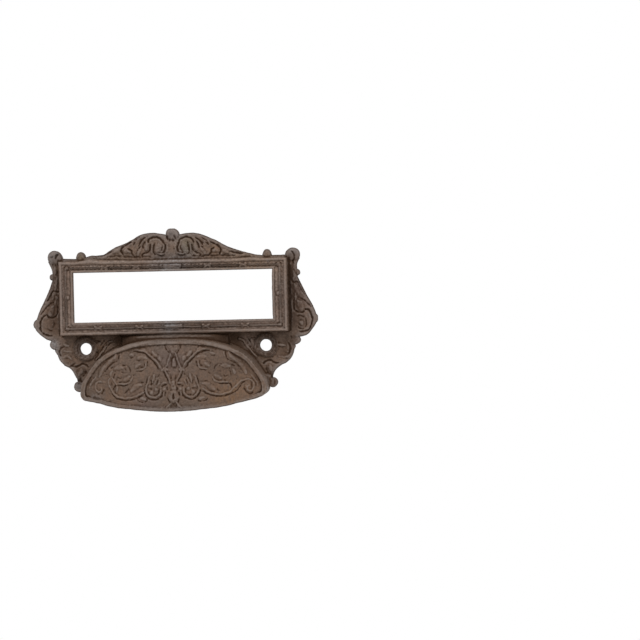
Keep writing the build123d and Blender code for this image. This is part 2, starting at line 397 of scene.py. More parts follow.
def inside_walls(patch, places, faces, numbers, walls):
    """Which of the faces lie on the patch. Faces that share an edge lie on one side of its walls,
    so each such group is judged by the middle of its largest face."""
    edges, _, owners = edge_table(faces)
    ends = np.sort(numbers[edges], axis=1)
    open_edge = np.array([tuple(pair) not in walls for pair in ends.tolist()], bool)
    group = joined_groups(len(faces), owners[open_edge])
    a, b, c = (places[faces[:, i]] for i in range(3))
    area = np.abs((b - a)[:, 0] * (c - a)[:, 1] - (b - a)[:, 1] * (c - a)[:, 0])
    inside = np.zeros(len(faces), bool)
    for name in np.unique(group):
        member = np.nonzero(group == name)[0]
        centre = places[faces[member[area[member].argmax()]]].mean(axis=0)
        inside[member] = area[member].sum() > SLIVER and patch.find(centre[:1], centre[1:])[0][0]
    return inside


def make_skin():
    """The casting's skin: its points, its triangles, how many of these lead the list as walls, which
    points lie on the front, which lie in the middle of a wall's fan, and the seams where the front
    turns to a wall, each as a place, the radius that rounds it and its kind."""
    points, triangles = cad_triangles()
    normals = unit_normals(points, triangles)
    front = normals[:, 1] < -FRONT_TILT
    edges, triangle_edges, owners = edge_table(triangles)
    turn = np.arccos(np.clip((normals[owners[:, 0]] * normals[owners[:, 1]]).sum(axis=1), -1, 1))
    rim = front[owners[:, 0]] != front[owners[:, 1]]
    both = front[owners].all(axis=1)
    chosen = rim | (both & (turn > CREASE))
    patch_of = joined_groups(len(triangles), owners[both & ~chosen])
    centres = points[triangles].mean(axis=1)
    step = centres[owners[:, 1]] - centres[owners[:, 0]]
    convex = (normals[owners[:, 0]] * step).sum(axis=1) < 0
    heights = np.ptp(points[triangles][:, :, 1], axis=1)[owners].max(axis=1)
    points, rows = split_rows(points, edges, chosen)
    seams = []
    for index in np.nonzero(rim & (turn > SHARP_TURN))[0]:
        place = points[rows[index][0]]
        on_hood_foot = -place[1] > LIP_DEPTH and place[2] < LIP_UP
        if on_hood_foot and heights[index] < LIP_STEP:
            continue
        kind, radius = "concave", FOOT_FILLET
        near_boss = math.hypot(abs(place[0]) - SCREW_ACROSS, place[2]) < BOSS_CLEAR
        if knob_gap(place[0], place[2]) < KNOB_BLEND or place[2] > FRAME_FOOT or near_boss:
            radius = WIDE_FILLET
        if convex[index]:
            kind, radius = "convex", min(ROUND_SHARE * heights[index], LARGEST_ROUND)
            if -place[1] < OUTLINE_DEPTH:
                kind = "outline"
            if on_hood_foot:
                kind = "lip"
            if on_ledge(place[0], place[2], -place[1]) and abs(place[0]) < LEDGE_HALF - LEDGE_SLACK:
                radius = LEDGE_ROUND
        for a, b in zip(rows[index], rows[index][1:]):
            shares = np.arange(LINE_SAMPLES) / LINE_SAMPLES
            seams += [(points[a] + (points[b] - points[a]) * share, radius, kind) for share in shares]

    # each wall triangle with a divided edge becomes a fan round its middle
    whole, fans, middles = [], [], []
    for number in np.nonzero(~front)[0]:
        loop = loop_of(triangles[number], triangle_edges[number], rows)
        if len(loop) == 3:
            whole.append(loop)
        else:
            middle = len(points) + len(middles)
            middles.append(centres[number])
            fans += [(a, b, middle) for a, b in zip(loop, loop[1:] + loop[:1])]
    fan_middles = np.arange(len(points), len(points) + len(middles))
    points = np.vstack([points, middles])
    faces = [np.array(whole), np.array(fans)]

    on_front = np.zeros(len(points), bool)
    for name in np.unique(patch_of[front]):
        member = patch_of == name
        patch = Patch(points, triangles[member], normals[member])
        here = np.nonzero(chosen & (member[owners[:, 0]] | member[owners[:, 1]]))[0]
        lines = np.array([pair for i in here for pair in zip(rows[i], rows[i][1:])])
        on_front[np.unique(lines)] = True
        new_points, new_faces = skin_patch(patch, points, lines)
        points = np.vstack([points, new_points])
        on_front = np.append(on_front, np.ones(len(new_points), bool))
        faces.append(new_faces)
    return points, np.vstack(faces), len(whole) + len(fans), on_front, fan_middles, seams


# The ornament: strokes painted one over another on the casting's front

STROKE_STEP, SPOT = 0.12, 0.01
STROKE_GROOVE, STROKE_REACH = 0.08, 0.35
TAPER, PLATE_DEEPER = 0.5, 1.25
RING_POINTS = 12
BOTH, RIGHT, LEFT = (1, -1), (1,), (-1,)
HOOD_STRAND, HOOD_LEAF = 0.42, 0.38
STRAP_MIDDLE, DROP_MIDDLE = 0.45, 0.7
CREST_MIDDLE, BALL_MIDDLE, WING_MIDDLE = -0.9, -0.5, 0.2
strokes = []


def smooth_line(points, step=STROKE_STEP):
    """A smooth run through the given points; any further columns are carried along."""
    points = np.array(points, float)
    ends = 2 * points[0] - points[1], 2 * points[-1] - points[-2]
    knots = np.vstack([ends[0], points, ends[1]])
    runs = []
    for a, b, c, d in zip(knots, knots[1:], knots[2:], knots[3:]):
        count = max(1, math.ceil(math.dist(b[:2], c[:2]) / step))
        t = (np.arange(count) / count)[:, None]
        bend = (2 * a - 5 * b + 4 * c - d) * t**2 + (3 * b - a - 3 * c + d) * t**3
        runs.append(b + ((c - a) * t + bend) / 2)
    runs.append(points[-1:])
    return np.vstack(runs)


def disc(x, z, radius):
    """A round spot."""
    return [(x - SPOT, z, radius), (x + SPOT, z, radius)]


def ring(x, z, radius, half_width):
    """A ring round a place."""
    angles = np.radians(360 * np.linspace(0, 1, RING_POINTS))
    return [(x + radius * math.cos(a), z + radius * math.sin(a), half_width) for a in angles]


def even(points, half_width):
    """Points of one half width, drawn out fine at both ends."""
    widths = np.full(len(points), half_width)
    if len(points) > 2:
        widths[[0, -1]] *= TAPER
    return [(x, z, width) for (x, z), width in zip(points, widths)]


class Pen:
    """Paints strokes on one level of the casting, on both sides of an upright middle line or on one."""

    def __init__(self, level, middle=0.0, sides=BOTH):
        self.level, self.middle, self.sides = level, middle, sides

    def add(self, height, points, groove=STROKE_GROOVE):
        """A stroke of (across, up, half width) points. A height over 0 raises a rounded strand with a
        groove along its foot; under 0 it cuts a hollow."""
        line = smooth_line(points)
        for side in self.sides:
            strokes.append((self.level, height, line * (side, 1, 1) + (self.middle, 0, 0), groove))

    def strand(self, height, points, half_width, groove=STROKE_GROOVE):
        """A raised strand of one half width, drawn out fine at both ends."""
        self.add(height, even(points, half_width), groove)

    def cut(self, depth, points, half_width):
        """A hollow of one half width along a line, deeper on the plate."""
        deeper = PLATE_DEEPER if self.level == PLATE else 1
        self.add(-depth * deeper, even(points, half_width))

    def pit(self, depth, x, z, half_width):
        """A round hollow."""
        self.cut(depth, [(x - SPOT, z), (x + SPOT, z)], half_width)


def pens(level, middle=0.0):
    """Three pens: for both sides, for the right only or once on the middle line, and for the left."""
    return [Pen(level, middle, sides) for sides in (BOTH, RIGHT, LEFT)]


def hood_scrolls():
    """The scrollwork of the hood's sunk field, one half and its mirror image."""
    both, right, left = pens(HOOD)
    # leaves between the upper scroll and the rim
    both.add(HOOD_LEAF, [(4.2, -4.5, 0.4), (4.5, -3.7, 0.9), (4.8, -3.0, 0.45)])
    both.add(HOOD_LEAF, [(5.4, -3.0, 0.4), (6.3, -2.3, 0.95), (7.3, -1.3, 0.4)])
    both.add(HOOD_LEAF, [(9.2, -1.3, 0.4), (10.3, -0.6, 0.75), (11.6, -0.4, 0.4)])
    # upper scroll, from the crossing to the rim, with the dark line under it
    both.strand(HOOD_STRAND, [(3.9, -7.8), (4.5, -6.6), (5.2, -5.5), (6.1, -4.5), (7.2, -3.5),
        (8.3, -2.5), (9.4, -1.6), (10.6, -0.9), (12.2, -0.6), (13.8, -0.6)], 0.42)
    both.cut(0.42, [(4.9, -7.6), (5.5, -6.7), (6.3, -5.5), (7.2, -4.4), (8.3, -3.4), (9.5, -2.3),
        (10.8, -1.65), (12.3, -1.3), (14.0, -1.1)], 0.3)
    both.add(0.4, [(14.2, -2.0, 0.4), (14.8, -2.3, 0.75), (15.5, -2.4, 0.4)])
    both.cut(0.3, [(14.2, -3.2), (15.0, -3.4), (15.7, -3.2)], 0.26)
    # leaves inside the upper scroll
    both.add(0.28, [(9.4, -3.6, 0.4), (10.8, -3.3, 0.9), (12.4, -3.3, 0.6)])
    both.cut(0.25, [(11.9, -4.4), (13.2, -4.4)], 0.2)
    both.strand(HOOD_LEAF, [(9.5, -4.7), (9.6, -5.9), (9.8, -6.9), (10.6, -7.5), (11.8, -7.8),
        (13.1, -7.9)], 0.32)
    both.cut(0.32, [(9.0, -4.6), (8.95, -5.7), (9.2, -6.8)], 0.2)
    both.cut(0.28, [(10.2, -5.0), (10.3, -6.1), (10.9, -6.8), (11.7, -7.0)], 0.22)
    both.cut(0.32, [(10.2, -8.1), (11.6, -8.45), (13.2, -8.45)], 0.22)
    both.cut(0.28, [(13.2, -9.2), (14.2, -9.8)], 0.22)
    both.cut(0.2, [(13.8, -5.5), (14.3, -5.9)], 0.3)
    both.add(0.3, [(12.0, -5.8, 0.4), (12.9, -6.3, 0.75), (13.6, -7.0, 0.4)])
    # round leaf and the hooks beside it
    both.add(0.35, [(18.2, -7.0, 0.5), (19.6, -6.9, 1.1), (21.1, -7.2, 0.6)])
    both.cut(0.38, [(15.4, -9.0), (15.5, -7.7), (16.0, -6.8), (16.9, -6.2), (18.2, -6.0)], 0.26)
    both.cut(0.25, [(17.3, -6.9), (17.2, -7.7)], 0.22)
    both.cut(0.2, [(16.4, -8.9), (17.7, -8.9), (18.9, -8.6)], 0.2)
    both.cut(0.35, [(21.9, -6.6), (22.7, -7.1)], 0.35)
    both.cut(0.36, [(20.8, -8.0), (21.2, -9.0), (21.5, -9.8), (21.7, -10.8)], 0.25)
    both.add(0.35, [(22.2, -8.3, 0.35), (22.8, -9.1, 0.65), (22.9, -10.1, 0.35)])
    both.cut(0.36, [(18.6, -10.0), (19.3, -10.9), (20.3, -10.6), (20.7, -11.3)], 0.26)
    both.cut(0.25, [(18.6, -11.8), (19.6, -12.3)], 0.22)
    # second scroll
    both.strand(0.4, [(14.7, -10.8), (15.2, -11.8), (16.1, -12.6), (17.3, -12.9), (18.8, -12.9),
        (20.3, -12.8)], 0.4)
    both.cut(0.42, [(16.4, -13.1), (17.8, -13.5), (19.4, -13.45), (20.8, -13.5), (21.6, -14.2),
        (21.9, -15.0)], 0.26)
    both.add(0.3, [(15.5, -10.3, 0.4), (16.6, -10.9, 0.9), (17.7, -11.4, 0.6)])
    # upright leaf and the broad leaf along the rim
    both.strand(0.3, [(19.1, -1.9), (19.25, -3.4)], 0.28)
    both.add(0.35, [(20.7, -2.1, 0.4), (21.6, -3.4, 0.8), (23.2, -4.6, 0.85), (25.0, -6.3, 0.85),
        (26.4, -8.3, 0.8), (27.0, -10.0, 0.5)])
    both.cut(0.38, [(19.7, -1.7), (19.8, -3.2), (20.3, -4.4), (21.5, -5.1), (22.8, -5.9), (24.0, -7.0),
        (25.0, -8.3)], 0.25)
    both.cut(0.22, [(22.0, -2.7), (22.7, -3.3), (23.6, -3.7)], 0.22)
    both.cut(0.22, [(24.4, -5.4), (24.9, -6.0)], 0.2)
    both.cut(0.25, [(24.2, -9.2), (25.5, -9.7)], 0.22)
    both.cut(0.22, [(23.6, -10.9), (23.5, -12.2)], 0.2)
    # leaf beside the rosette
    both.add(HOOD_LEAF, [(11.2, -13.3, 0.45), (12.6, -13.5, 0.9), (14.0, -14.5, 1.05),
        (15.2, -15.5, 0.7)])
    both.cut(0.25, [(10.2, -12.3), (11.4, -12.4), (12.9, -12.3)], 0.22)
    both.cut(0.28, [(16.2, -14.8), (16.8, -15.6), (17.7, -16.2)], 0.32)
    # big lower scroll, which on the right runs on into a curl
    right.strand(HOOD_STRAND, [(10.9, -15.1), (12.2, -15.9), (13.6, -16.6), (15.2, -17.1), (17.0, -17.3),
        (18.8, -17.1), (20.4, -16.6), (21.8, -15.8), (23.0, -14.8), (24.2, -13.6), (25.3, -12.7),
        (26.6, -12.2), (28.0, -12.2), (29.2, -12.9), (29.7, -14.2), (29.3, -15.5), (28.2, -16.1),
        (27.3, -15.6), (27.3, -14.6), (28.0, -14.2)], 0.36)
    right.cut(0.42, [(10.3, -15.9), (11.4, -16.4), (12.8, -17.1), (14.8, -17.8), (17.0, -18.0),
        (19.2, -17.8), (21.2, -17.2), (22.8, -16.4), (24.2, -15.2), (25.2, -13.9), (26.3, -12.95)], 0.28)
    right.cut(0.34, [(26.4, -13.7), (26.2, -15.0), (26.8, -16.4), (28.2, -17.0), (29.6, -16.5)], 0.26)
    right.cut(0.32, [(27.4, -13.2), (28.5, -13.4), (28.8, -14.4), (28.5, -15.2)], 0.2)
    # on the left it closes round a leaf, and the curl stands by itself
    left.strand(HOOD_STRAND, [(9.8, -15.4), (11.4, -16.6), (13.7, -17.6), (16.1, -18.1), (18.4, -18.0),
        (20.3, -17.2), (21.7, -16.0), (22.8, -14.5), (23.5, -12.8), (23.5, -11.2), (22.7, -10.4)], 0.36)
    left.cut(0.42, [(10.8, -17.0), (13.2, -18.3), (16.0, -18.85), (18.6, -18.7), (20.9, -17.7),
        (22.4, -16.3)], 0.28)
    left.strand(0.35, [(22.7, -10.5), (21.5, -11.6), (20.7, -13.0), (20.4, -14.6), (20.7, -15.9)], 0.33)
    left.cut(0.3, [(22.6, -12.0), (22.2, -13.6), (21.6, -15.0)], 0.24)
    left.strand(HOOD_STRAND, [(25.4, -12.2), (26.8, -11.8), (28.0, -12.2), (28.7, -13.3), (28.5, -14.7),
        (27.5, -15.5), (26.5, -15.1), (26.6, -14.2)], 0.34)
    left.cut(0.3, [(25.6, -13.4), (25.6, -15.0), (26.4, -16.2), (27.8, -16.3)], 0.26)
    # outer strand by the rim
    both.strand(0.4, [(28.6, -10.3), (29.7, -11.6), (30.6, -13.0), (31.1, -14.4)], 0.36)
    # small leaf under the rosette, and the faint hollow along the lip
    both.add(0.3, [(9.9, -19.0, 0.35), (10.7, -18.5, 0.75), (11.6, -18.2, 0.5)])
    both.cut(0.36, [(9.3, -18.7), (9.4, -19.4), (10.8, -19.8), (12.4, -19.3), (13.1, -18.3)], 0.24)
    both.cut(0.12, [(3.2, -21.2), (7.0, -21.4), (11.0, -21.1), (15.0, -20.5)], 0.55)


def hood_rosettes():
    """The round rosettes either side of the strapwork, with the leaf above and the hook beside."""
    both = Pen(HOOD)
    both.strand(HOOD_LEAF, [(4.2, -14.4), (4.2, -15.6), (4.6, -16.9), (5.6, -17.8), (7.0, -18.1),
        (8.5, -17.5), (9.5, -16.2), (9.8, -14.8), (9.4, -13.4), (8.8, -12.2), (8.7, -11.0), (8.0, -10.1)],
        0.38)
    both.cut(0.45, [(3.6, -16.3), (4.2, -17.8), (5.6, -18.7), (7.1, -18.95), (8.7, -18.3), (9.8, -17.0),
        (10.3, -15.6)], 0.3)
    both.cut(0.3, [(4.9, -15.1), (5.0, -16.2), (5.7, -17.1), (6.8, -17.3)], 0.24)
    both.cut(0.36, [(9.0, -10.3), (9.25, -11.8), (9.9, -13.4)], 0.26)
    # feathers of the leaf that hangs into the rosette
    both.add(0.35, [(4.4, -11.7, 0.3), (5.1, -13.0, 0.4), (5.7, -14.1, 0.25)])
    both.add(0.35, [(5.6, -10.9, 0.3), (6.2, -12.2, 0.4), (6.7, -13.4, 0.25)])
    both.add(0.35, [(6.5, -9.8, 0.4), (6.9, -11.2, 0.55), (7.3, -12.6, 0.25)])
    both.cut(0.32, [(5.0, -11.9), (5.4, -13.0), (5.8, -13.9)], 0.2)
    both.cut(0.32, [(6.0, -11.4), (6.5, -12.4), (6.9, -13.3)], 0.2)
    both.cut(0.3, [(7.6, -11.9), (7.5, -13.5)], 0.24)
    # the rosette's petals
    both.add(0.4, disc(5.9, -15.1, 0.75))
    both.add(0.35, disc(7.7, -16.3, 0.85))
    both.add(0.25, disc(8.4, -14.1, 0.7))
    both.cut(0.3, [(7.1, -14.9), (8.7, -15.1)], 0.24)
    # hook and small leaves between rosette and strapwork
    both.strand(0.35, [(1.9, -12.8), (3.2, -12.8), (4.2, -13.3)], 0.32)
    both.cut(0.42, [(1.9, -13.4), (3.0, -13.6), (4.0, -14.0)], 0.28)
    both.add(0.3, disc(3.0, -15.0, 0.75))
    both.cut(0.36, [(1.8, -14.3), (1.8, -15.5)], 0.28)
    both.cut(0.3, [(2.5, -16.2), (2.7, -17.3)], 0.28)
    both.strand(0.25, [(3.2, -16.3), (3.3, -17.3)], 0.3)
    both.cut(0.3, [(4.3, -9.0), (4.8, -9.9), (5.6, -10.6)], 0.24)


def hood_strapwork():
    """The upright strapwork in the middle: bracket, drop, crossing, column and baluster."""
    both, once, _ = pens(HOOD, STRAP_MIDDLE)
    drop = Pen(HOOD, DROP_MIDDLE, RIGHT)
    # the ground inside the upper loop, and the drop that hangs in it
    once.add(-0.35, [(0, -2.7, 0.3), (0, -3.8, 0.9), (0, -5.4, 1.4), (0, -6.8, 1.7)])
    drop.add(0.55, [(0, -3.9, 0.3), (0, -4.8, 0.65), (0, -5.7, 0.9), (0, -6.3, 0.8)])
    # the bracket
    once.add(0.4, [(0, 1.7, 2.5), (0, 0.6, 2.0), (0, -0.6, 1.2), (0, -1.6, 0.7)])
    once.cut(0.25, [(0, 0.4), (0, -0.1)], 0.4)
    both.cut(0.34, [(3.1, 1.2), (2.7, -0.1), (2.0, -1.2), (1.3, -2.0)], 0.24)
    # straps from the bracket to the crossing, and on down to the column
    both.add(0.4, [(2.0, -8.0, 0.4), (3.1, -7.8, 0.85), (4.2, -8.2, 0.45)])
    both.strand(0.55, [(0.7, -1.8), (1.1, -2.9), (1.5, -4.0), (1.9, -5.2), (2.3, -6.4), (3.1, -7.7)],
        0.32)
    both.strand(0.5, [(3.2, -8.1), (2.5, -9.4), (1.8, -10.8), (1.3, -12.1), (1.0, -13.4)], 0.34)
    both.cut(0.36, [(3.7, -8.9), (2.9, -10.1), (2.3, -11.3), (1.9, -12.4)], 0.26)
    once.cut(0.3, [(-1.5, -8.7), (0, -8.5), (1.5, -8.7)], 0.24)
    both.cut(0.22, [(0.9, -9.8), (0.8, -11.2)], 0.25)
    # the column
    once.add(0.4, [(0, -12.6, 0.7), (0, -14.0, 1.0), (0, -15.5, 1.0), (0, -16.4, 1.2)])
    once.cut(0.3, [(0, -13.9), (0, -14.3)], 0.3)
    # baluster with its lozenge, and the dark triangle under it
    once.add(0.5, [(0, -16.0, 0.9), (0, -17.0, 1.8), (0, -17.9, 2.2), (0, -18.8, 1.5), (0, -19.6, 0.7)])
    once.add(-0.6, [(0, -16.9, 0.2), (0, -17.6, 0.55), (0, -18.2, 0.7), (0, -18.8, 0.2)])
    both.cut(0.3, [(2.2, -18.5), (1.7, -19.3), (1.5, -20.0)], 0.28)
    once.add(-0.5, [(0, -20.4, 0.2), (0, -21.0, 0.9), (0, -21.6, 1.6)])
    both.strand(0.45, [(0.6, -19.7), (1.3, -20.5), (2.1, -21.4), (3.0, -22.2)], 0.4)


def crest():
    """The crest's leaves and volutes, either side of its ball."""
    both, once, _ = pens(PLATE, CREST_MIDDLE)
    under_ball = Pen(PLATE, BALL_MIDDLE)
    both.add(0.3, [(9.0, 39.3, 0.5), (9.3, 38.0, 0.8), (9.7, 36.9, 0.6)], 0.1)
    both.add(0.3, [(11.3, 37.6, 0.4), (12.0, 36.4, 0.8), (12.7, 35.1, 0.5)], 0.15)
    both.add(0.35, [(15.8, 36.2, 0.8), (16.6, 36.6, 1.0), (17.4, 36.2, 0.7)], 0.15)
    both.add(0.35, [(19.6, 36.6, 0.4), (20.4, 36.1, 0.9), (21.4, 35.6, 0.5)], 0.15)
    both.add(0.3, [(4.6, 38.9, 0.7), (4.9, 37.6, 1.2), (5.2, 36.4, 0.8)])
    both.cut(0.25, [(3.5, 38.8), (3.4, 37.9), (3.6, 37.0), (4.2, 36.2)], 0.3)
    # the strand that turns into the volute, and the feathers' ridges
    both.strand(0.3, [(1.7, 39.2), (1.5, 37.4), (1.8, 36.0)], 0.4)
    both.strand(0.35, [(8.9, 41.5), (9.9, 40.5), (10.8, 39.3), (11.2, 37.9)], 0.35)
    both.strand(0.35, [(11.3, 41.4), (12.5, 40.5), (13.3, 39.5), (13.7, 38.4)], 0.38)
    both.strand(0.3, [(13.8, 40.6), (14.9, 39.4), (15.9, 38.5)], 0.35)
    # volute and the ridge beside it
    both.cut(0.55, [(8.7, 39.6), (8.3, 40.4), (7.5, 41.1), (6.5, 41.5), (5.5, 41.6), (4.5, 41.3),
        (3.6, 40.7), (2.9, 39.8), (2.5, 38.8), (2.3, 37.5), (2.6, 36.4), (3.2, 35.7)], 0.42)
    both.strand(0.9, [(2.4, 35.5), (3.3, 35.1), (4.3, 35.1), (5.3, 35.5)], 0.35)
    both.cut(0.4, [(6.1, 39.4), (6.5, 38.2), (6.7, 36.9), (6.6, 35.8), (6.0, 35.0)], 0.34)
    both.strand(0.4, [(7.2, 39.4), (7.35, 38.0), (7.4, 36.6), (7.3, 35.3)], 0.36)
    both.cut(0.45, [(7.9, 38.9), (7.9, 37.8), (8.2, 36.8), (8.8, 36.1), (9.7, 35.6), (10.9, 35.4)], 0.36)
    # feathers of the leaf
    both.cut(0.45, [(9.2, 41.3), (10.3, 40.9), (11.1, 40.2), (11.7, 39.4), (12.1, 38.5)], 0.42)
    both.cut(0.3, [(9.9, 39.9), (10.3, 39.1), (10.5, 38.2), (10.6, 37.4)], 0.32)
    both.cut(0.3, [(11.6, 38.2), (12.0, 37.5)], 0.3)
    both.cut(0.45, [(12.9, 40.1), (13.6, 39.4), (14.3, 38.7)], 0.38)
    both.cut(0.35, [(11.6, 41.5), (12.8, 41.0), (13.8, 40.4)], 0.3)
    both.pit(0.4, 11.0, 34.8, 0.5)
    # second and third lobes, and the groove under the rim
    both.cut(0.45, [(14.0, 34.4), (14.6, 35.1), (15.1, 36.0), (15.4, 36.9), (16.3, 37.4)], 0.38)
    both.cut(0.55, [(14.9, 39.8), (15.9, 39.3), (16.9, 38.7), (17.8, 38.1), (18.5, 37.3), (18.8, 36.4),
        (18.6, 35.6), (18.2, 35.0)], 0.42)
    both.cut(0.5, [(22.2, 36.2), (23.2, 35.7), (24.4, 35.3), (25.6, 34.9), (27.0, 34.5)], 0.38)
    both.cut(0.3, [(8.0, 34.3), (14.0, 34.3), (20.0, 34.4), (24.0, 34.3)], 0.4)
    # pits under the ball, and the plaque between the volutes
    under_ball.cut(0.5, [(1.3, 42.0), (1.4, 41.4), (1.3, 40.8)], 0.5)
    under_ball.cut(0.25, [(0.6, 40.9), (0.7, 40.2)], 0.3)
    once.pit(0.3, 1.0, 37.2, 0.35)


def wings():
    """The wings' leaves and volutes, either side of the label frame."""
    both, right, _ = pens(PLATE, WING_MIDDLE)
    centred, centred_right, left = pens(PLATE)
    centred.cut(0.35, [(43.3, 33.0), (43.3, 26.0), (43.3, 18.0), (43.3, 10.0), (43.4, 5.5)], 0.7)
    # lines along the outer edge
    both.cut(0.28, [(44.8, 28.6), (45.6, 26.6), (46.6, 24.4), (47.7, 22.0), (48.9, 19.4), (50.2, 16.6),
        (51.4, 14.0)], 0.28)
    left.add(0.3, [(44.9, 24.9, 0.4), (44.9, 24.2, 0.7), (44.8, 23.4, 0.4)])
    # the hook on each finial
    centred_right.cut(0.55, [(44.0, 35.4), (44.5, 34.9), (45.0, 34.1), (45.1, 32.9), (44.8, 31.6),
        (45.2, 30.4)], 0.32)
    left.cut(0.8, [(43.4, 35.4), (43.9, 34.4), (44.0, 33.2)], 0.35)
    left.cut(0.6, [(46.2, 34.0), (45.4, 34.0), (44.6, 34.4)], 0.3)
    left.cut(0.35, [(43.9, 29.3), (44.5, 27.6), (44.9, 26.3)], 0.3)
    both.add(0.35, [(45.2, 31.5, 0.4), (45.1, 29.5, 0.6), (44.9, 27.5, 0.7), (44.8, 25.5, 0.6),
        (44.8, 24.6, 0.3)])
    # cup and inner leaf
    both.add(0.3, [(45.3, 22.8, 0.5), (45.6, 21.4, 0.9), (46.1, 20.0, 0.8), (46.7, 18.9, 0.4)], 0.1)
    left.add(0.4, disc(44.9, 19.7, 0.75), 0.3)
    right.cut(0.5, [(43.9, 24.4), (44.6, 23.7), (45.3, 23.7), (45.9, 24.0), (46.4, 23.4), (46.9, 22.3),
        (47.4, 21.2), (47.9, 20.1), (48.6, 19.0)], 0.32)
    left.cut(0.5, [(43.8, 21.8), (44.9, 22.0), (45.8, 22.2), (46.7, 21.2), (47.6, 19.8), (48.5, 18.4)],
        0.34)
    both.add(0.35, [(45.2, 19.5, 0.25), (45.3, 18.2, 0.45), (45.4, 16.8, 0.3)])
    # drop leaf
    both.add(0.4, [(46.2, 16.6, 0.5), (46.9, 15.2, 1.2), (47.2, 13.9, 1.2), (47.3, 13.0, 0.6)], 0.1)
    both.cut(0.4, [(46.1, 17.8), (47.2, 17.4), (48.3, 16.6), (49.3, 15.6), (50.2, 14.5), (51.0, 13.4)],
        0.3)
    both.cut(0.5, [(44.6, 16.8), (44.5, 15.0), (44.8, 13.4), (45.5, 12.5), (46.4, 12.1), (47.4, 12.1),
        (48.1, 12.4), (48.6, 13.1)], 0.32)
    # volute with its ring and eye
    both.cut(0.55, [(48.6, 13.2), (49.6, 12.9), (50.4, 12.1), (51.0, 11.0), (51.3, 9.7), (51.2, 8.3),
        (50.7, 7.1), (49.9, 6.2), (48.8, 5.6), (47.6, 5.3), (46.5, 5.3)], 0.38)
    right.add(0.35, disc(47.2, 8.3, 1.0), 0.35)
    right.cut(0.4, [(45.2, 10.7), (46.4, 10.9), (47.6, 10.7), (48.5, 10.0), (49.0, 8.9), (48.9, 7.8),
        (48.3, 6.8), (47.4, 6.3), (46.4, 6.5), (45.8, 7.3)], 0.3)
    left.add(0.2, disc(47.3, 9.2, 2.0), 0.1)
    left.cut(0.3, [(45.8, 10.2), (45.6, 9.2), (46.2, 8.3)], 0.45)
    left.cut(0.3, [(48.3, 7.9), (47.4, 7.3), (46.5, 7.3)], 0.3)


def lobes():
    """The screw lobes: these differ from left to right as the pattern was cut by hand."""
    both, right, left = pens(PLATE)
    # bosses worn low, and countersinks worn wide
    for radius, half_width, depth in ((3.7, 0.8, 0.6), (2.8, 0.7, 0.4)):
        both.add(-depth, ring(SCREW_ACROSS, 0, radius, half_width))
    # the right foot runs into the hood
    right.add(1.4, [(34.4, -11.4, 0.9), (35.2, -13.2, 1.6), (35.6, -15.0, 1.3)], 0.0)
    # right lobe
    right.add(0.5, [(38.7, 0.1, 0.3), (40.1, 0.0, 0.65), (41.4, -0.2, 0.4)])
    right.cut(0.5, [(42.5, 0.9), (43.1, -0.2), (43.3, -1.4), (43.0, -2.5), (42.3, -3.1), (41.4, -2.9)],
        0.4)
    right.cut(0.3, [(43.1, 3.5), (43.9, 3.1), (43.8, 2.3)], 0.3)
    right.strand(0.3, [(38.6, -4.0), (40.4, -4.4), (42.2, -4.2), (43.4, -3.4)], 0.45, 0.15)
    # left lobe
    left.add(0.5, [(40.4, 1.4, 0.5), (41.4, 1.5, 0.65), (42.2, 1.9, 0.4)])
    left.strand(0.35, [(43.0, -0.4), (41.9, -0.75), (40.4, -0.85), (39.0, -1.0)], 0.35)
    left.add(0.35, [(42.6, -3.0, 0.4), (41.4, -2.6, 0.75), (40.2, -3.0, 0.6), (39.2, -3.9, 0.3)])
    left.cut(0.45, [(42.2, 0.9), (43.1, 0.6), (43.8, -0.2), (43.9, -1.4), (43.5, -2.6)], 0.36)
    left.cut(0.4, [(37.8, -5.4), (38.6, -6.0), (39.6, -6.6)], 0.5)
    # the drop under the boss
    both.cut(0.5, [(33.0, -6.9), (33.9, -6.1), (35.0, -5.7), (36.0, -5.9), (37.0, -6.5), (38.4, -6.4)],
        0.4)
    both.add(0.5, [(35.4, -7.6, 0.5), (35.6, -8.6, 0.8), (35.9, -9.6, 0.4)])
    both.cut(0.4, [(34.0, -7.8), (34.1, -9.1), (34.6, -10.2)], 0.35)
    left.cut(0.45, [(35.5, -10.8), (35.8, -11.6), (35.4, -12.4)], 0.6)
    # corner leaf between hood, frame and boss
    both.add(0.45, [(23.9, 2.6, 0.5), (24.9, 2.4, 0.55), (25.8, 1.7, 0.35)], 0.3)
    both.strand(0.4, [(25.4, 1.6), (26.6, 0.4), (27.9, -1.3), (29.2, -3.0), (30.6, -4.4)], 0.42, 0.3)
    both.add(0.3, [(28.5, 2.2, 0.5), (29.3, 0.9, 0.9), (29.8, -0.8, 0.6)], 0.1)
    both.cut(0.25, [(26.0, 2.5), (27.0, 1.3), (27.9, 0.1), (28.4, -0.8)], 0.26)
    both.cut(0.25, [(26.8, 3.3), (27.6, 2.2), (28.4, 1.2)], 0.26)
    both.cut(0.25, [(28.2, 2.9), (29.2, 3.0), (30.3, 3.0)], 0.22)


# The label frame's flowers, reed, middle blocks and fine lines
UPPER_FLOWERS, LOWER_FLOWERS = (-25.5, -13.7, 13.1, 26.2), (-28.3, -12.9, 11.9, 26.6)
REED_UP, REED_DOWN = 30.3, 7.7
REED_SIDE, SIDE_MIDDLE = 39.6, 19.4
FLOWER_GAP, FLOWER_REACH, FLOWER_RISE = 1.5, 1.15, 0.55
FRAME_BOTTOM, FRAME_TOP, FRAME_SIDE = 5.3, 32.7, 42.5
FRAME_LINES = ((1.2, 1.2), (1.95, 1.95), (2.85, 2.85), (3.65, 4.1))
FRAME_LINE_DEPTH, FRAME_LINE_HALF = 0.15, 0.27
BLOCK_LEFT, BLOCK_RIGHT, BLOCK_HALF, BLOCK_LINE = -3.0, 2.4, 0.9, 3.5


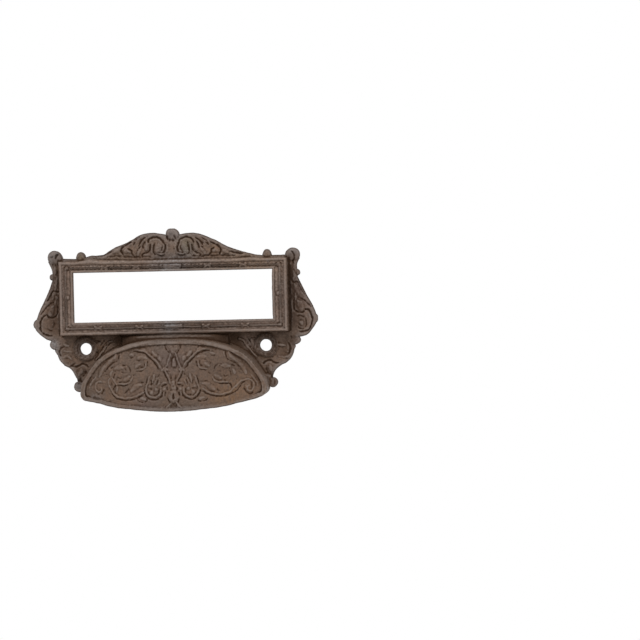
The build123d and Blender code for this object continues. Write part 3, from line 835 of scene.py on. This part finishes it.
def flower(x, z):
    """A four-petalled flower in a gap of the reed."""
    once = Pen(FRAME, sides=RIGHT)
    once.cut(0.3, [(x - FLOWER_GAP, z), (x + FLOWER_GAP, z)], 0.5)
    for slope in (-FLOWER_RISE, FLOWER_RISE):
        petals = even([(x - FLOWER_REACH, z - slope), (x + FLOWER_REACH, z + slope)], 0.27)
        once.add(0.55, petals, 0.0)
    once.add(0.35, disc(x, z, 0.4), 0.0)


def frame_beads():
    """The flowers along the label frame's reed and at its corners, and its plain middle blocks."""
    both, once, _ = pens(FRAME)
    # crisp lines between bead and channel, either side of the reed, and before the inner bead
    for in_from_top, in_from_side in FRAME_LINES:
        low, high = FRAME_BOTTOM + in_from_top, FRAME_TOP - in_from_top
        across = FRAME_SIDE - in_from_side
        for height in (low, high):
            once.cut(FRAME_LINE_DEPTH, [(-across, height), (across, height)], FRAME_LINE_HALF)
        both.cut(FRAME_LINE_DEPTH, [(across, low), (across, high)], FRAME_LINE_HALF)
    for height, places in ((REED_UP, UPPER_FLOWERS), (REED_DOWN, LOWER_FLOWERS)):
        for place in places:
            flower(place, height)
        once.add(0.3, [(BLOCK_LEFT, height, BLOCK_HALF), (BLOCK_RIGHT, height, BLOCK_HALF)])
        once.cut(0.2, [(BLOCK_LINE, height - BLOCK_HALF), (BLOCK_LINE, height + BLOCK_HALF)], 0.2)
    for side in (-1, 1):
        once.add(0.5, disc(REED_SIDE * side, SIDE_MIDDLE, 0.85), 0.15)
        for height in (REED_UP, REED_DOWN):
            once.pit(0.3, REED_SIDE * side, height, 1.3)
            once.add(0.5, disc(REED_SIDE * side, height, 0.75), 0.0)
            once.pit(0.25, REED_SIDE * side, height, 0.25)


hood_scrolls()
hood_rosettes()
hood_strapwork()
crest()
wings()
lobes()
frame_beads()


def wander(x, z, depth):
    """Places shifted a little this way and that, as a pattern cut by hand has no perfect lines."""
    places = [Vector((a * HAND_SCALE, b * HAND_SCALE, HAND_SLICE)) for a, b in zip(x, z)]
    shift = HAND_WANDER * np.array([noise.noise_vector(place)[:2] for place in places])
    shift[(depth > FRAME[0]) & (depth < FRAME[1])] *= FRAME_STEADY
    return x + shift[:, 0], z + shift[:, 1]


def paint(x, z, depth):
    """The relief over the casting at each point of the front."""
    x, z = wander(x, z, depth)
    places = [Vector((a * SWELL_SCALE, SWELL_SLICE, b * SWELL_SCALE)) for a, b in zip(x, z)]
    swell = SWELL * np.array([noise.noise(place) for place in places])
    swell[(depth > FRAME[0]) & (depth < FRAME[1])] *= FRAME_STEADY
    relief = np.zeros(len(x))
    for (low, high), height, line, groove in strokes:
        half = line[:, 2].max() + STROKE_REACH
        box_low, box_high = line[:, :2].min(axis=0) - half, line[:, :2].max(axis=0) + half
        near = np.nonzero(
            (x > box_low[0]) & (x < box_high[0]) & (z > box_low[1]) & (z < box_high[1])
            & (depth > low) & (depth < high)
        )[0]
        if not len(near):
            continue
        gaps = np.hypot(x[near, None] - line[:, 0], z[near, None] - line[:, 1]) - line[:, 2]
        nearest = gaps.argmin(axis=1)
        gap = gaps[np.arange(len(near)), nearest] + swell[near]
        inside = np.clip(-gap / line[nearest, 2], 0, 1)
        crown = np.sqrt(1 - (1 - inside) ** 2)
        foot = groove * np.clip(1 - np.abs(gap) / STROKE_REACH, 0, 1)
        if height > 0:
            foot = np.where(gap < 0, foot * (1 - inside), foot)
            under = np.where(gap < 0, np.minimum(relief[near], 0), relief[near])
            relief[near] = under + np.where(gap < 0, height * crown, 0) - foot
        else:
            relief[near] += np.where(gap < 0, height * inside * (2 - inside), 0)
    return relief


# The skin's shape: relief, rounded edges and the unevenness of a sand casting


def neighbour_mean(values, pairs, count):
    """Each point's mean of the points that share an edge with it."""
    a, b = pairs.T
    total = np.bincount(a, values[b], count) + np.bincount(b, values[a], count)
    number = np.bincount(a, minlength=count) + np.bincount(b, minlength=count)
    return np.where(number > 0, total / np.maximum(number, 1), values)


def line_distance(points, seams):
    """How far each point is from the nearest seam, and which seam sample that is."""
    tree = KDTree(len(seams))
    for i, place in enumerate(seams):
        tree.insert(place, i)
    tree.balance()
    found = [tree.find(p)[1:] for p in points]
    return np.array([f[1] for f in found]), np.array([f[0] for f in found])


def quarter_round(distance, radius):
    """How far a rounded edge falls short of the sharp one at this distance from it."""
    inside = np.clip(distance, 0, radius)
    return radius - np.sqrt(np.maximum(radius**2 - (radius - inside) ** 2, 0))


def uneven(points):
    """Low waves over the whole front, as a sand mould leaves them."""
    return sum(
        size * np.array([noise.noise(Vector((x * scale, WAVER_SLICE, z * scale))) for x, _, z in points])
        for scale, size in WAVER
    )


def push_aside(points):
    """The points moved sideways where the real outline is uneven, and a little everywhere."""
    places = [Vector((x * EDGE_SCALE, EDGE_SLICE, z * EDGE_SCALE)) for x, _, z in points]
    shift = EDGE_WANDER * np.array([noise.noise_vector(place) for place in places]) * (1, 0, 1)
    for x, z, reach, across, up in PUSHES:
        weight = np.exp(-((points[:, 0] - x) ** 2 + (points[:, 2] - z) ** 2) / reach**2)
        shift += weight[:, None] * (across, 0, up)
    return points + shift


def seam_places(seams, *kinds):
    """The places of the seams of these kinds, and the radius that rounds each."""
    chosen = [(place, radius) for place, radius, kind in seams if kind in kinds]
    return np.array([place for place, _ in chosen]), np.array([radius for _, radius in chosen])


def band_and_groove(relief, points, seams):
    """The relief with a raised band along the plate's outline and a groove inside it."""
    x, y, z = points.T
    depth = -y
    gap, _ = line_distance(points * (1, 0, 1), seam_places(seams, "outline")[0])
    near_screw = np.hypot(np.abs(x) - SCREW_ACROSS, z) < BOSS_CLEAR
    plain = (depth < PLATE[1]) & ~near_screw
    off_knob = np.clip(knob_gap(x, z) / KNOB_BLEND, 0, 1)
    band = np.clip(1 - ((gap - RIM_BAND) / RIM_BAND_HALF) ** 2, 0, 1)
    groove = np.clip(1 - ((gap - RIM_GROOVE_OUT) / RIM_GROOVE_HALF) ** 2, 0, 1)
    banded = relief * np.clip((gap - RIM_BAND) / RIM_BAND_HALF, 0, 1)
    banded += (RIM_BAND_HEIGHT * np.sqrt(band) - RIM_GROOVE_DEPTH * groove) * off_knob
    banded -= KNOB_FLATTEN * np.maximum(depth - KNOB_BASE, 0) * (1 - off_knob)
    return np.where(plain, banded, relief)


def wear_ledge_and_lip(relief, points, seams):
    """The relief where the ledge falls away to its ends, the shelf above it gives way and the lip's
    rim is worn down."""
    x, y, z = points.T
    depth = -y
    fall = LEDGE_FALL * np.abs(x / LEDGE_HALF) ** LEDGE_FALL_POWER
    relief = relief - fall * on_ledge(x, z, depth)
    over = np.maximum(SHELF_DEPTH + SHELF_SINK - (LEDGE_DEPTH - fall), 0)
    rise = SHELF_RISE * np.clip(1 - (x / LEDGE_HALF) ** 2, 0, 1)
    relief = relief + (rise - over) * on_ledge(x, z, depth, SHELF_DEPTH)
    cx, cd, cz, radius = SPHERES[0]
    dome = cd + np.sqrt(np.maximum(radius**2 - (x - cx) ** 2 - (z - cz) ** 2, 0))
    gap, _ = line_distance(points * (1, 0, 1), seam_places(seams, "lip")[0] * (1, 0, 1))
    on_lip = (np.abs(dome - depth) < LEDGE_SLACK) & (gap < LIP_WIDTH) & (z < LIP_UP)
    return relief - np.interp(x, *LIP_WORN) * on_lip


def round_edges(relief, points, seams):
    """The relief with sharp edges rounded off and inner corners filled."""
    for sign, kinds in ((-1, ("convex", "outline", "lip")), (1, ("concave",))):
        places, radii = seam_places(seams, *kinds)
        distance, nearest = line_distance(points, places)
        radius = radii[nearest]
        relief = relief + sign * np.where(distance < radius, quarter_round(distance, radius), 0)
    return relief


def shape_front(points, faces, on_front, fan_middles, seams):
    """The skin's points with the relief raised and the edges rounded, and the pairs of points that
    share an edge."""
    pairs = edge_table(faces)[0]
    front_pairs = pairs[on_front[pairs].all(axis=1)]
    front = points[on_front]
    x, y, z = front.T
    depth = -y
    painted = paint(x, z, depth)
    painted += CHANNEL_FILL * (np.abs(depth - CHANNEL_DEPTH) < LEDGE_SLACK)
    painted += REED_RISE * (np.abs(depth - REED_DEPTH) < LEDGE_SLACK)
    relief = np.zeros(len(points))
    relief[on_front] = band_and_groove(painted, front, seams)
    for _ in range(RELIEF_PASSES):
        mean = neighbour_mean(relief, front_pairs, len(points))
        relief[on_front] = (relief[on_front] + mean[on_front]) / 2
    worn = round_edges(wear_ledge_and_lip(relief[on_front], front, seams), front, seams)
    share = np.where(depth < PLATE[1], PLATE_ROUGHER, np.where(depth < FRAME[1], FRAME_STEADY, 1))
    relief[on_front] = worn + uneven(front) * share
    relief[fan_middles] = neighbour_mean(relief, pairs, len(points))[fan_middles]
    shaped = push_aside(points - relief[:, None] * (0, 1, 0))
    low, high = (np.array(corner) / MM for corner in cad_box)
    return np.clip(shaped, low + BOX_MARGIN, high - BOX_MARGIN), pairs


points, faces, wall_count, on_front, fan_middles, seams = make_skin()
points, pairs = shape_front(points, faces, on_front, fan_middles, seams)


# Where grime and painted shade darken the iron and where it is rubbed bright

on_frame = (points[:, 2] > FRAME_LOW) & (-points[:, 1] > FRAME[0]) & (-points[:, 1] < FRAME[1])


def distance_inside():
    """How far each point of the plate or hood is from its outer edge, seen from the front."""
    distance = np.full(len(points), np.inf)
    for edge_kind, (lowest, highest) in (("outline", PLATE), ("lip", HOOD)):
        edge = push_aside(seam_places(seams, edge_kind)[0])
        gap, _ = line_distance(points * (1, 0, 1), edge * (1, 0, 1))
        depth = -points[:, 1]
        distance = np.where((depth > lowest) & (depth < highest), gap, distance)
    return distance


edge_gap = distance_inside()


def hollow_by(passes):
    """How far each point lies below the mean of its surroundings, in millimetres."""
    depth = -points[:, 1]
    mean = depth
    for _ in range(passes):
        mean = neighbour_mean(mean, pairs, len(points))
    return mean - depth


def hidden_sky():
    """The share of the sky that higher parts round it hide from each point."""
    low = points.min(axis=0) - SKY_REACH[-1] - CELL
    size = np.ceil((np.ptp(points, axis=0) + 2 * (SKY_REACH[-1] + CELL)) / CELL).astype(int) + 1
    heights = np.zeros((size[0], size[2]))
    x, y, z = points.T
    cell = ((points - low) / CELL).astype(int)
    np.maximum.at(heights, (cell[:, 0], cell[:, 2]), -y)
    hidden = np.zeros(len(points))
    for angle in np.arange(SKY_DIRECTIONS) * math.tau / SKY_DIRECTIONS:
        steepest = np.zeros(len(points))
        for reach in SKY_REACH:
            column = ((x + reach * math.cos(angle) - low[0]) / CELL).astype(int)
            row = ((z + reach * math.sin(angle) - low[2]) / CELL).astype(int)
            steepest = np.maximum(steepest, (heights[column, row] + y) / reach)
        hidden += steepest**2 / (1 + steepest**2)
    return hidden / SKY_DIRECTIONS


def grime_and_painted_shade():
    """How dark each point is painted: painted shade where higher parts hide the sky and along the
    outline's edge, and grime, partly painted shade, where it has settled over the years."""
    # painted shade where higher parts round a point hide the sky
    shade_and_grime = hidden_sky()
    x, y, z = points.T
    for low, high, amount, reach, line in SETTLED_GRIME_AND_SHADE:
        gap = np.min([np.hypot(x - cx, z - cz) for cx, cz in smooth_line(line, SETTLED_STEP)], axis=0)
        inside = (-y > low) & (-y < high)
        shade_and_grime += inside * amount * np.exp(-(gap / reach) ** 2)
    # painted shade along the outline's edge
    return np.maximum(shade_and_grime, OUTLINE_SHADE * np.clip(1 - edge_gap / OUTLINE_SHADE_REACH, 0, 1))


def tone_at_points():
    """The patina's colour at each point: one brown, with a painted grey highlight along the outline and
    soft patches of other tones, some of them painted highlights.
    """
    colour = np.where(on_frame[:, None], FRAME_PATINA, np.array(PATINA))
    colour = np.where(-points[:, 1:2] > HOOD[0], HOOD_PATINA, colour)
    # painted highlight: a grey band along the outline
    rim = (PAINTED_RIM_HIGHLIGHT * np.clip(1 - edge_gap / PAINTED_RIM_HIGHLIGHT_REACH, 0, 1))[:, None]
    colour = colour * (1 - rim) + np.array(GREY_TONE_AND_HIGHLIGHT) * rim
    for x, z, reach, tone, strength in PATCHES:
        gap = np.hypot(points[:, 0] - x, points[:, 2] - z) / reach
        weight = (strength * np.exp(-gap**2))[:, None]
        colour = colour * (1 - weight) + np.array(tone) * weight
    return np.column_stack([colour, np.ones(len(points))])


def add_object(name, data):
    """A new object in the scene that shows the given data."""
    made = bpy.data.objects.new(name, data)
    bpy.context.scene.collection.objects.link(made)
    return made


def make_casting():
    """The skin as a Blender mesh in metres. Its attributes lie on the triangles' corners, so that
    the walls are evenly brown right up to the front."""
    mesh = bpy.data.meshes.new("bin_pull_casting")
    mesh.from_pydata((points * MM).tolist(), [], faces.tolist())
    # recess darkens the hollows with grime and painted shade, and marks the raised edges as rubbed
    recess = hollow_by(FINE_PASSES)
    recess *= np.where(on_frame, np.where(recess > 0, FRAME_HOLLOW_DARKENING, FRAME_RUBBED), 1)
    corners = faces.ravel()
    on_wall = np.arange(len(corners)) < 3 * wall_count
    # the shade attribute carries painted shade and grime; the walls' corners take the painted wall shade
    for name, values, wall_value in (("recess", recess, 0), ("shade", grime_and_painted_shade(), WALL_SHADE)):
        values = np.where(on_wall, wall_value, values[corners]).astype(np.float32)
        mesh.attributes.new(name, "FLOAT", "CORNER").data.foreach_set("value", values)
    tone = np.where(on_wall[:, None], (*PATINA, 1), tone_at_points()[corners])
    tone = tone.astype(np.float32).ravel()
    mesh.attributes.new("patina_and_highlight", "FLOAT_COLOR", "CORNER").data.foreach_set("color", tone)
    mesh.shade_smooth()
    mesh.set_sharp_from_angle(angle=SHARP_SHADING)
    return add_object("bin_pull_casting", mesh)


# The iron's noises: scale for each metre, detail and roughness
BROAD_NOISE, MOTTLE_NOISE = (120.0, 4.0, 0.6), (700.0, 5.0, 0.65)
SPECKLE_NOISE, GRAIN_NOISE = (1400.0, 3.0, 0.6), (3200.0, 4.0, 0.7)

# The iron's ramps: where a value starts and stops to count, and what comes out there
WARM_RAMP, COOL_RAMP = (0.35, 0.65, 0.0, 0.5), (0.4, 0.7, 0.0, 0.55)
SPECKLE_RAMP, MOTTLE_SHIFT = (0.35, 0.68, 0.0, 0.42), (0.3, 0.7, -0.02, 0.02)
LOW_RAMP, SHADE_RAMP = (0.01, 0.19, 0.0, 0.9), (0.12, 0.9, 0.0, 0.72)
HIGH_RAMP, RUBBED_BREAKS = (-0.03, -0.16, 0.0, 1.0), (0.35, 0.6, 0.3, 0.9)
ROUGH_RAMP = (0.3, 0.7, 0.5, 0.68)

# How far grime, painted shade and rubbing change the colour, the roughness and the gloss, and the fine
# bump
RUBBED_COLOUR, RUBBED_SMOOTHER = 0.6, 0.1
GRIME_AND_SHADE_ROUGHER, GLOSS, GRIME_AND_SHADE_DULLER = 0.2, 0.28, 0.23
METALLIC, GRAIN_SHARE = 0.1, 0.4
BUMP_STRENGTH, BUMP_DISTANCE = 0.6, 0.0002


class Nodes:
    """Short calls for building a material's node tree."""

    def __init__(self, tree):
        self.tree = tree
        tree.nodes.clear()

    def plug(self, value, socket):
        """Links a socket's output to the socket, or sets the socket where the value is plain."""
        if isinstance(value, bpy.types.NodeSocket):
            self.tree.links.new(value, socket)
        else:
            socket.default_value = value

    def add(self, kind, **settings):
        node = self.tree.nodes.new(kind)
        for name, value in settings.items():
            setattr(node, name, value)
        return node

    def feed(self, node, **inputs):
        for name, value in inputs.items():
            self.plug(value, node.inputs[name.replace("_", " ")])
        return node

    def attribute(self, name, output="Fac"):
        return self.add("ShaderNodeAttribute", attribute_name=name).outputs[output]

    def noise(self, place, scale, detail, roughness):
        node = self.add("ShaderNodeTexNoise")
        self.feed(node, Vector=place, Scale=scale, Detail=detail, Roughness=roughness)
        return node.outputs["Fac"]

    def ramp(self, value, low, high, out_low, out_high):
        node = self.add("ShaderNodeMapRange", interpolation_type="SMOOTHSTEP")
        self.feed(node, Value=value, From_Min=low, From_Max=high, To_Min=out_low, To_Max=out_high)
        return node.outputs["Result"]

    def maths(self, operation, a, b):
        node = self.add("ShaderNodeMath", operation=operation)
        for value, socket in zip((a, b), node.inputs):
            self.plug(value, socket)
        return node.outputs[0]

    def mix(self, share, a, b):
        """One colour over another; a colour mix has its share in socket 0 and its colours in 6 and 7."""
        node = self.add("ShaderNodeMix", data_type="RGBA")
        for number, value in ((0, share), (6, a), (7, b)):
            self.plug(value, node.inputs[number])
        return node.outputs[2]


def iron_material():
    """Old cast iron: brown patina with painted highlights, dark grime and painted shade in the hollows
    and where little sky is seen, grey metal on the rubbed edges.
    """
    material = bpy.data.materials.new("old_cast_iron")
    material.use_nodes = True
    nodes = Nodes(material.node_tree)
    place = nodes.add("ShaderNodeTexCoord").outputs["Object"]
    recess, shade = nodes.attribute("recess"), nodes.attribute("shade")
    patina_and_highlight = nodes.attribute("patina_and_highlight", "Color")
    broad, mottle = nodes.noise(place, *BROAD_NOISE), nodes.noise(place, *MOTTLE_NOISE)
    grain = nodes.noise(place, *GRAIN_NOISE)
    speckle = nodes.ramp(nodes.noise(place, *SPECKLE_NOISE), *SPECKLE_RAMP)

    varied = nodes.mix(nodes.ramp(broad, *WARM_RAMP), patina_and_highlight, WARM)
    varied = nodes.mix(nodes.ramp(mottle, *COOL_RAMP), varied, COOL)
    varied = nodes.mix(speckle, varied, DARK_GRIME_AND_SHADE)
    # grime and painted shade: the hollows and the shade attribute darken the colour
    lowness = nodes.maths("ADD", recess, nodes.ramp(mottle, *MOTTLE_SHIFT))
    grime_and_shade_share = nodes.maths("MAXIMUM", nodes.ramp(lowness, *LOW_RAMP), nodes.ramp(shade, *SHADE_RAMP))
    colour = nodes.mix(grime_and_shade_share, varied, DARK_GRIME_AND_SHADE)
    rubbed = nodes.maths("MULTIPLY", nodes.ramp(recess, *HIGH_RAMP), nodes.ramp(mottle, *RUBBED_BREAKS))
    colour = nodes.mix(nodes.maths("MULTIPLY", rubbed, RUBBED_COLOUR), colour, RUBBED)

    rough = nodes.ramp(mottle, *ROUGH_RAMP)
    rough = nodes.maths("ADD", rough, nodes.maths("MULTIPLY", grime_and_shade_share, GRIME_AND_SHADE_ROUGHER))
    rough = nodes.maths("SUBTRACT", rough, nodes.maths("MULTIPLY", rubbed, RUBBED_SMOOTHER))
    gloss = nodes.maths("SUBTRACT", GLOSS, nodes.maths("MULTIPLY", grime_and_shade_share, GRIME_AND_SHADE_DULLER))
    height = nodes.maths("ADD", nodes.maths("MULTIPLY", grain, GRAIN_SHARE), mottle)
    bump = nodes.add("ShaderNodeBump")
    nodes.feed(bump, Strength=BUMP_STRENGTH, Distance=BUMP_DISTANCE, Height=height)
    shader = nodes.add("ShaderNodeBsdfPrincipled")
    nodes.feed(shader, Base_Color=colour, Roughness=rough, Metallic=METALLIC, Specular_IOR_Level=gloss,
        Normal=bump.outputs["Normal"])
    nodes.feed(nodes.add("ShaderNodeOutputMaterial"), Surface=shader.outputs["BSDF"])
    return material


casting = make_casting()
casting.data.materials.append(iron_material())
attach(casting, "root")
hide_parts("casting")


# The camera stands where the photograph's did: level, to the right of the pull, and turned a little
# about its own axis

CAMERA_PLACE = Vector((0.05469, -0.560, 0.00904))
CAMERA_ROLL = math.radians(1.25)
PHOTO_WIDTH = 640
FOCAL_PIXELS = 1476.16
SENSOR_WIDTH = 36.0
NEAREST_SEEN = 0.01

camera_data = bpy.data.cameras.new("camera")
camera_data.sensor_width = SENSOR_WIDTH
camera_data.lens = SENSOR_WIDTH * FOCAL_PIXELS / PHOTO_WIDTH
camera_data.clip_start = NEAREST_SEEN
camera = add_object("camera", camera_data)
camera.location = CAMERA_PLACE
camera.rotation_euler = (math.radians(90), CAMERA_ROLL, 0)
bpy.context.scene.camera = camera


# A pale floor well below, white surroundings and soft studio lamps

FLOOR_DROP, FLOOR_HALF = 0.25, 0.5
FLOOR_COLOUR, FLOOR_ROUGHNESS = (0.8, 0.8, 0.79, 1), 0.9
WHITE = (1, 1, 1, 1)
WORLD_LIGHT, SEEN_LIGHT = 0.55, 1.0
LAMPS = (("key_lamp", (-0.25, -0.75, 0.55), 0.35, 5.0), ("fill_lamp", (0.8, -0.65, 0.1), 0.8, 3.2))


def make_floor():
    """The pale floor, a square well below the pull."""
    mesh = bpy.data.meshes.new("floor")
    signs = ((-1, -1), (1, -1), (1, 1), (-1, 1))
    corners = [(x * FLOOR_HALF, y * FLOOR_HALF, -FLOOR_DROP) for x, y in signs]
    mesh.from_pydata(corners, [], [(0, 1, 2, 3)])
    floor = add_object("floor", mesh)
    material = bpy.data.materials.new("pale_floor")
    material.use_nodes = True
    shader = material.node_tree.nodes["Principled BSDF"]
    shader.inputs["Base Color"].default_value = FLOOR_COLOUR
    shader.inputs["Roughness"].default_value = FLOOR_ROUGHNESS
    mesh.materials.append(material)
    return floor


def set_world():
    """White for what the camera and the gloss see, softer grey light for the rest."""
    world = bpy.data.worlds.new("studio")
    world.use_nodes = True
    nodes = Nodes(world.node_tree)
    light = nodes.feed(nodes.add("ShaderNodeBackground"), Color=WHITE, Strength=WORLD_LIGHT)
    white = nodes.feed(nodes.add("ShaderNodeBackground"), Color=WHITE, Strength=SEEN_LIGHT)
    rays = nodes.add("ShaderNodeLightPath").outputs
    seen = nodes.maths("MAXIMUM", rays["Is Camera Ray"], rays["Is Glossy Ray"])
    seen = nodes.maths("MAXIMUM", seen, rays["Is Transmission Ray"])
    mixed = nodes.add("ShaderNodeMixShader")
    for value, socket in zip((seen, light.outputs[0], white.outputs[0]), mixed.inputs):
        nodes.plug(value, socket)
    nodes.feed(nodes.add("ShaderNodeOutputWorld"), Surface=mixed.outputs[0])
    bpy.context.scene.world = world


def add_lamp(name, place, size, power):
    """A square soft lamp that points at the pull."""
    data = bpy.data.lights.new(name, "AREA")
    data.size = size
    data.energy = power
    lamp = add_object(name, data)
    lamp.location = place
    lamp.rotation_euler = (-Vector(place)).to_track_quat("-Z", "Y").to_euler()


make_floor()
set_world()
for lamp_settings in LAMPS:
    add_lamp(*lamp_settings)
bpy.context.scene.view_settings.view_transform = "Standard"
